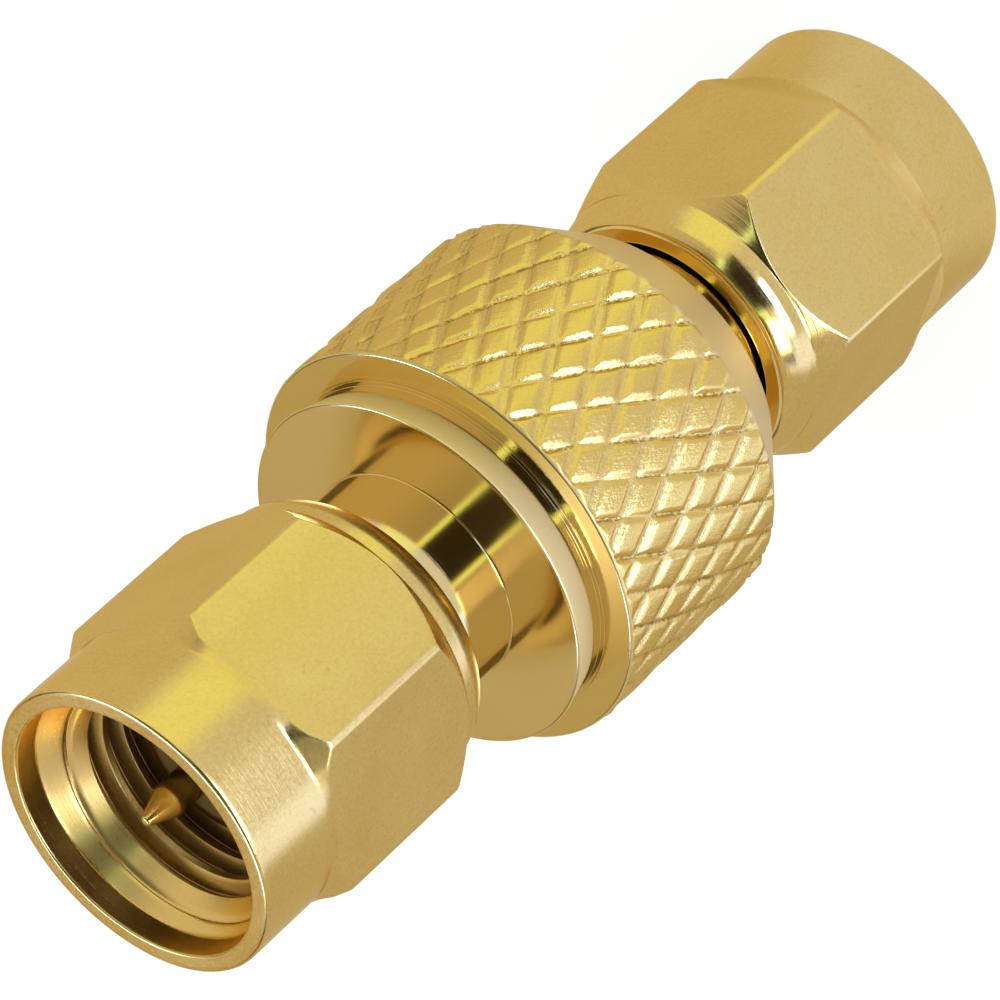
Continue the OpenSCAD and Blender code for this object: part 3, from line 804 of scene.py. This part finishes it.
def ptfe_white():
    """Waxy white PTFE: faint clouds, knife-turned rings on the faces, a soft glow, and a ring of painted shade by the
    sleeve's wall.
    """
    finish, tree = new_finish("ptfe_white")
    spot = tree.place()
    x, y, z = tree.parts(spot)
    radius = from_axis(x, y)
    rings = tree.noise(tree.joined(radius * 14.0, z * 14.0, 0.0), scale=1.0, detail=2.0)
    clouds = tree.noise(spot, scale=1.2, detail=3.0)
    colour = tree.blend(clouds, PTFE_SHADE, PTFE_WHITE)
    # Painted shade: the faces go dark brown towards the sleeve's wall, where the bore shades them.
    colour = tree.blend(tree.ease(radius, *SHADE_RING_R) * 0.9, colour, PTFE_PAINTED_SHADE)
    constants = {"Subsurface Weight": 0.15, "Subsurface Scale": 0.0004, "IOR": 1.38}
    close_finish(tree, constants, colour, 0.38 + 0.14 * rings, rings * 0.8 + clouds * 0.3, distance=4.0e-6)
    return finish


def silicone_red():
    """Soft red silicone: fine moulded grain and a dusty bloom."""
    finish, tree = new_finish("silicone_red")
    spot = tree.place()
    grain = tree.noise(spot, scale=12.0, detail=3.0, roughness=0.6)
    bloom = tree.noise(spot, scale=1.6, detail=3.0)
    colour = tree.blend(tree.ease(bloom, 0.4, 0.75), SILICONE_RED, SILICONE_BLOOM)
    close_finish(tree, {"IOR": 1.42}, colour, 0.5 + 0.2 * grain, grain, distance=6.0e-6)
    return finish


# Stage: floor, surroundings, lamps and camera.

BASE_TONE = (0.63, 0.59, 0.50)
RIGHT_TONE = (0.73, 0.66, 0.49)
BACK_TONE = (0.56, 0.455, 0.22)
FRONT_TONE = (0.82, 0.83, 0.83)
COOL_TONE = (1.2, 1.38, 2.1)
STRIP_TONE = (4.2, 5.6, 10.5)
WARM_TONE = (1.06, 1.12, 0.58)
CEILING_TONE = (0.11, 0.10, 0.085)
GLOW_TONE = (1.4, 1.9, 1.2)
CARD_TONE = (0.03, 0.025, 0.02)
WHITE = (1.0, 1.0, 1.0)
SOFT_GREY = (0.62, 0.62, 0.62)
PAPER_GREY = (0.86, 0.86, 0.86)
COOL_SIDE = math.radians(224)
STRIP_SIDE = math.radians(260)
WARM_SIDE = math.radians(327)
RIGHT_SIDE = math.radians(45)
BACK_SIDE = math.radians(110)
FRONT_SIDE = math.radians(283)
CARD_SIDE = math.radians(284)
SECOND_CARD_SIDE = math.radians(232)
BACK_CARD_SIDES = (math.radians(80), math.radians(140))

# Widths of what stands round the object, as pairs of cosines from its side, at its edge and where it is full.
RIGHT_WIDTH = (0.2, 0.8)
BACK_WIDTH = (0.5, 0.9)
FRONT_WIDTH = (0.2, 0.7)
COOL_WIDTH = (0.962, 0.992)
WARM_WIDTH = (0.90, 0.985)
STRIP_WIDTH = (0.92, 0.955)
LAMP_WIDTH = (0.84, 0.90)
GLOW_WIDTH = (0.875, 0.895)
CARD_WIDTH = (0.912, 0.935)
NARROW_WIDTH = (0.955, 0.98)

# Heights there, as pairs of a low and a high rise of the line of sight, the sine of its elevation.
LOW_TOP = (0.30, 0.42)
BACK_FOOT = (0.1, 0.4)
STRIP_FOOT = (-0.24, -0.16)
STRIP_TOP = (0.08, 0.16)
LAMP_FOOT = (0.66, 0.70)
LAMP_TOP = (0.80, 0.85)
CEILING_FOOT = (0.75, 0.87)
CEILING_TILT = 0.22
CARD_FOOT = (0.05, 0.12)
LOWER_HALF_TOP = (0.40, 0.47)
GLOW_FOOT = (0.36, 0.43)
UPPER_HALF_FOOT = (0.60, 0.64)
CARD_TOP = (0.68, 0.75)
CAMERA_AZIMUTH = math.radians(-69.487)
CAMERA_ELEVATION = math.radians(35.0851)


def surround(tree, direction, reach):
    """Tone of the studio round the object by direction: an even base, warmer to the right and brown high up behind.
    Below middle height are a paler front, and a cool lamp side and a warm side where reach is 1. A white strip lies
    near the horizon, a white lamp hangs high behind and a dark ceiling comes down in front. Of the dark cards one with
    a bright edge stands by the camera, one in two halves to its left, and two behind the object."""
    direction = tree.node("ShaderNodeVectorMath", {"operation": "NORMALIZE"}, {0: direction})
    flat = tree.node("ShaderNodeVectorMath", {"operation": "MULTIPLY"}, {0: direction, 1: (1, 1, 0)})
    flat = tree.node("ShaderNodeVectorMath", {"operation": "NORMALIZE"}, {0: flat})
    rise = tree.parts(direction)[2]

    def towards(angle):
        aim = (math.cos(angle), math.sin(angle), 0)
        return tree.node("ShaderNodeVectorMath", {"operation": "DOT_PRODUCT"}, {0: flat, 1: aim}, 1)

    low = 1 - tree.ease(rise, *LOW_TOP)
    back = towards(BACK_SIDE)
    card = towards(CARD_SIDE)
    high = tree.within(rise, GLOW_FOOT, CARD_TOP)
    tone = tree.blend(tree.ease(towards(RIGHT_SIDE), *RIGHT_WIDTH), BASE_TONE, RIGHT_TONE)
    tone = tree.blend(tree.ease(back, *BACK_WIDTH) * tree.ease(rise, *BACK_FOOT), tone, BACK_TONE)
    tone = tree.blend(low * (0.8 + 0.2 * reach) * tree.ease(towards(FRONT_SIDE), *FRONT_WIDTH), tone, FRONT_TONE)
    tone = tree.blend(low * reach * tree.ease(towards(COOL_SIDE), *COOL_WIDTH), tone, COOL_TONE)
    tone = tree.blend(low * reach * tree.ease(towards(WARM_SIDE), *WARM_WIDTH), tone, WARM_TONE)
    strip = tree.ease(towards(STRIP_SIDE), *STRIP_WIDTH) * tree.within(rise, STRIP_FOOT, STRIP_TOP)
    tone = tree.blend(strip, tone, STRIP_TONE)
    lamp_behind = tree.ease(back, *LAMP_WIDTH) * tree.within(rise, LAMP_FOOT, LAMP_TOP)
    tone = tree.blend(lamp_behind, tone, STRIP_TONE)
    ceiling = tree.ease(rise + CEILING_TILT * towards(CAMERA_AZIMUTH), *CEILING_FOOT)
    tone = tree.blend(ceiling, tone, CEILING_TONE)
    tone = tree.blend(high * tree.ease(card, *GLOW_WIDTH), tone, GLOW_TONE)
    tone = tree.blend(tree.within(rise, CARD_FOOT, CARD_TOP) * tree.ease(card, *CARD_WIDTH), tone, CARD_TONE)
    halves = tree.within(rise, CARD_FOOT, LOWER_HALF_TOP) + tree.within(rise, UPPER_HALF_FOOT, CARD_TOP)
    tone = tree.blend(halves * tree.ease(towards(SECOND_CARD_SIDE), *NARROW_WIDTH) * 0.85, tone, CARD_TONE)
    for side in BACK_CARD_SIDES:
        tone = tree.blend(high * tree.ease(towards(side), *NARROW_WIDTH) * 0.75, tone, CARD_TONE)
    return tone


def studio_world():
    """World: white to the camera, the studio's tone to reflections, and an even grey for soft light."""
    world = bpy.data.worlds.new("studio")
    world.use_nodes = True
    bpy.context.scene.world = world
    tree = Tree(world.node_tree)
    direction = tree.node("ShaderNodeTexCoord")
    path = tree.node("ShaderNodeLightPath").socket.node
    camera, glossy = (Wire(tree, path.outputs[n]) for n in ("Is Camera Ray", "Is Glossy Ray"))
    tone = tree.blend(glossy, SOFT_GREY, surround(tree, direction, 1.0))
    tone = tree.blend(camera, tone, WHITE)
    shader = tree.node("ShaderNodeBackground", None, {"Color": tone, "Strength": 1.0})
    tree.node("ShaderNodeOutputWorld", None, {"Surface": shader})


FLOOR_HALF = 1.5
FLOOR_DROP = 0.00002
FLOOR_REACH = (6.0, 11.0)
FLOOR_GLOW = 0.9


def studio_floor():
    """Pale floor under the rim: white to the camera with a soft shadow, and the studio's tone in reflections."""
    mesh = bpy.data.meshes.new("floor")
    ends = np.array([-FLOOR_HALF, FLOOR_HALF])
    x, y = np.meshgrid(ends, ends)
    corners = np.stack([x, y, np.full_like(x, -FLOOR_DROP)], -1).reshape(-1, 3)
    mesh.from_pydata(corners, [], [(0, 1, 3, 2)])
    floor = bpy.data.objects.new("floor", mesh)
    bpy.context.scene.collection.objects.link(floor)
    finish, tree = new_finish("floor_paper")
    path = tree.node("ShaderNodeLightPath").socket.node
    rays = ("Is Camera Ray", "Is Glossy Ray", "Is Transmission Ray")
    camera, glossy, through = (Wire(tree, path.outputs[n]) for n in rays)
    spot = tree.place()
    x, y, _ = tree.parts(spot)
    reach = tree.ease(from_axis(x, y), *FLOOR_REACH)
    seen = tree.node("ShaderNodeVectorMath", {"operation": "SUBTRACT"}, {0: spot, 1: (0, 0, JOINT_AT)})
    tone = tree.blend(glossy, WHITE, surround(tree, seen, reach))
    glow = tree.node("ShaderNodeEmission", None, {"Color": tone, "Strength": 1.0})
    paper = tree.node("ShaderNodeBsdfDiffuse", None, {"Color": PAPER_GREY})
    share = camera * FLOOR_GLOW + glossy + through * FLOOR_GLOW
    shader = tree.node("ShaderNodeMixShader", None, {0: share, 1: paper, 2: glow})
    tree.node("ShaderNodeOutputMaterial", None, {"Surface": shader})
    mesh.materials.append(finish)


PART_MIDDLE = Vector((0, 0, 0.015))


def lamp(name, azimuth, elevation, distance, width, height, power, mirrored):
    """Area lamp on a sphere round the part's middle, facing it. Reflections show it only if it is mirrored."""
    a, e = math.radians(azimuth), math.radians(elevation)
    out = Vector((math.cos(e) * math.cos(a), math.cos(e) * math.sin(a), math.sin(e)))
    data = bpy.data.lights.new(name, "AREA")
    data.shape, data.size, data.size_y, data.energy = "RECTANGLE", width, height, power
    made = bpy.data.objects.new(name, data)
    made.location = PART_MIDDLE + out * distance
    made.rotation_mode = "QUATERNION"
    made.rotation_quaternion = (-out).to_track_quat("-Z", "Y")
    made.visible_camera = False
    made.visible_glossy = mirrored
    bpy.context.scene.collection.objects.link(made)


CAMERA_ROLL = math.radians(-132.3874)
CAMERA_AIM = Vector((-0.16100, 0.33496, 15.70395)) * MM
CAMERA_DISTANCE = 172.1438 * MM
CAMERA_LENS = 248.809
CAMERA_SENSOR = 36
CAMERA_CLIP = (0.005, 10)


def photo_camera():
    """Camera at the photo's viewing angle, turned about its own line of sight by the roll."""
    a, e = CAMERA_AZIMUTH, CAMERA_ELEVATION
    back = Vector((math.cos(e) * math.cos(a), math.cos(e) * math.sin(a), math.sin(e)))
    side = Vector((0, 0, 1)).cross(back).normalized()
    top = back.cross(side)
    right = math.cos(CAMERA_ROLL) * side + math.sin(CAMERA_ROLL) * top
    up = back.cross(right)
    data = bpy.data.cameras.new("photo_camera")
    data.sensor_fit, data.sensor_width, data.lens = "HORIZONTAL", CAMERA_SENSOR, CAMERA_LENS
    data.clip_start, data.clip_end = CAMERA_CLIP
    camera = bpy.data.objects.new("photo_camera", data)
    camera.rotation_mode = "QUATERNION"
    camera.rotation_quaternion = Matrix((right, up, back)).transposed().to_quaternion()
    camera.location = CAMERA_AIM + back * CAMERA_DISTANCE
    bpy.context.scene.collection.objects.link(camera)
    bpy.context.scene.camera = camera


knurled_body(body_gold())
pressed_insert(insert_gold())
upper_gold = nut_gold("upper_nut_gold", UPPER_BACK, sign=1, polish=0.3, soften=0.0)
lower_gold = nut_gold("lower_nut_gold", NUT_LEN, sign=-1, polish=1.0, soften=0.4)
coupling_nut("upper_nut", "coupling_nut_upper", "nut_upper", upper_gold, lower=False)
coupling_nut("lower_nut", "coupling_nut_lower", "nut_lower", lower_gold, lower=True)
double_pin(pin_gold())
white = ptfe_white()
bush("upper_bush", "insulator_upper", 1, UPPER_BACK + INSULATOR_END - JOINT_AT, white)
bush("lower_bush", "insulator_lower", -1, JOINT_AT - NUT_LEN + INSULATOR_END, white)
red = silicone_red()
sealing_ring("upper_seal", "gasket_upper", UPPER_BACK + NECK_REACH, 1, red)
sealing_ring("lower_seal", "gasket_lower", NUT_LEN - NECK_REACH, -1, red)
bronze = ring_bronze()
for node in ("retaining_ring_upper", "retaining_ring_lower"):
    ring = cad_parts[node]
    ring.data.materials.clear()
    ring.data.materials.append(bronze)

studio_world()
studio_floor()
lamp("cool_lamp", azimuth=240, elevation=20, distance=0.5, width=0.2, height=0.2, power=0.7, mirrored=True)
lamp("top_lamp", azimuth=300, elevation=70, distance=0.6, width=0.5, height=0.5, power=4.0, mirrored=False)
photo_camera()
bpy.context.scene.view_settings.view_transform = "Standard"
